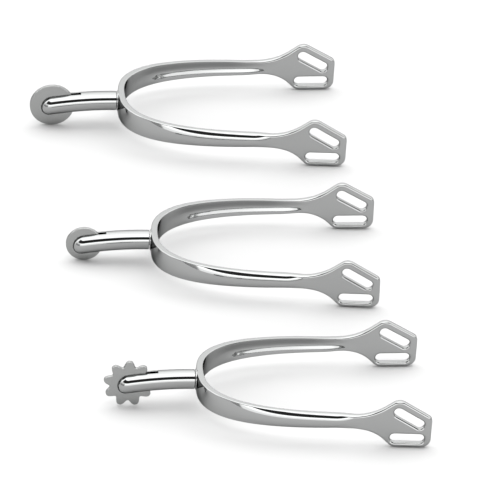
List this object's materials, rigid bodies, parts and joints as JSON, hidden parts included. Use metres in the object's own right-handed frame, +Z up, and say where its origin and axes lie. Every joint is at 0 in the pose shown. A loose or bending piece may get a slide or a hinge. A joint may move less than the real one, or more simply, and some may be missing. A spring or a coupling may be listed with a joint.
{
  "type": "riding spurs",
  "caption": "Polished steel riding spurs: U-shaped heel bands with slotted strap plates and round necks, each carrying a freely turning rowel, as a disc or a toothed star.",
  "frame": {"origin": "middle of the set at floor height, midway between the outermost points of the spurs", "axes": "+Z up; +X from the rowels towards the ends of the arms; +Y across the row of spurs, towards the large-disc spur"},
  "size_m": [0.1618, 0.3254, 0.0229],
  "materials": {
    "polished_steel": "mirror polished",
    "neck_steel": "mirror polished",
    "rowel_steel": "flat ground and polished",
    "pin_steel": "ground"
  },
  "bodies": {
    "spur_large_disc": {"large_disc_heel_band": "polished_steel", "large_disc_neck": "neck_steel", "large_disc_neck_stud": "pin_steel", "large_disc_rowel_pin": "pin_steel"},
    "rowel_large_disc": {"large_disc_rowel": "rowel_steel"},
    "spur_small_disc": {"small_disc_heel_band": "polished_steel", "small_disc_neck": "neck_steel", "small_disc_neck_stud": "pin_steel", "small_disc_rowel_pin": "pin_steel"},
    "rowel_small_disc": {"small_disc_rowel": "rowel_steel"},
    "spur_star": {"star_heel_band": "polished_steel", "star_neck": "neck_steel", "star_neck_stud": "pin_steel", "star_rowel_pin": "pin_steel"},
    "rowel_star": {"star_rowel": "rowel_steel"}
  },
  "joints": [
    {"name": "small_disc_spur_lift", "type": "slide", "parent": "spur_large_disc", "child": "spur_small_disc", "axis": [0, 0, 1], "range_m": [0, 0.05]},
    {"name": "star_spur_lift", "type": "slide", "parent": "spur_large_disc", "child": "spur_star", "axis": [0, 0, 1], "range_m": [0, 0.05]},
    {"name": "large_disc_rowel_spin", "type": "hinge", "parent": "spur_large_disc", "child": "rowel_large_disc", "pos_m": [-0.07084, 0.12426, 0.01005], "axis": [-0.0087, 1, 0], "continuous": true},
    {"name": "small_disc_rowel_spin", "type": "hinge", "parent": "spur_small_disc", "child": "rowel_small_disc", "pos_m": [-0.06309, 0.0011, 0.0081], "axis": [0.0314, 0.9995, 0], "continuous": true},
    {"name": "star_rowel_spin", "type": "hinge", "parent": "spur_star", "child": "rowel_star", "pos_m": [-0.05074, -0.12812, 0.01115], "axis": [-0.0209, 0.9998, 0], "continuous": true}
  ]
}
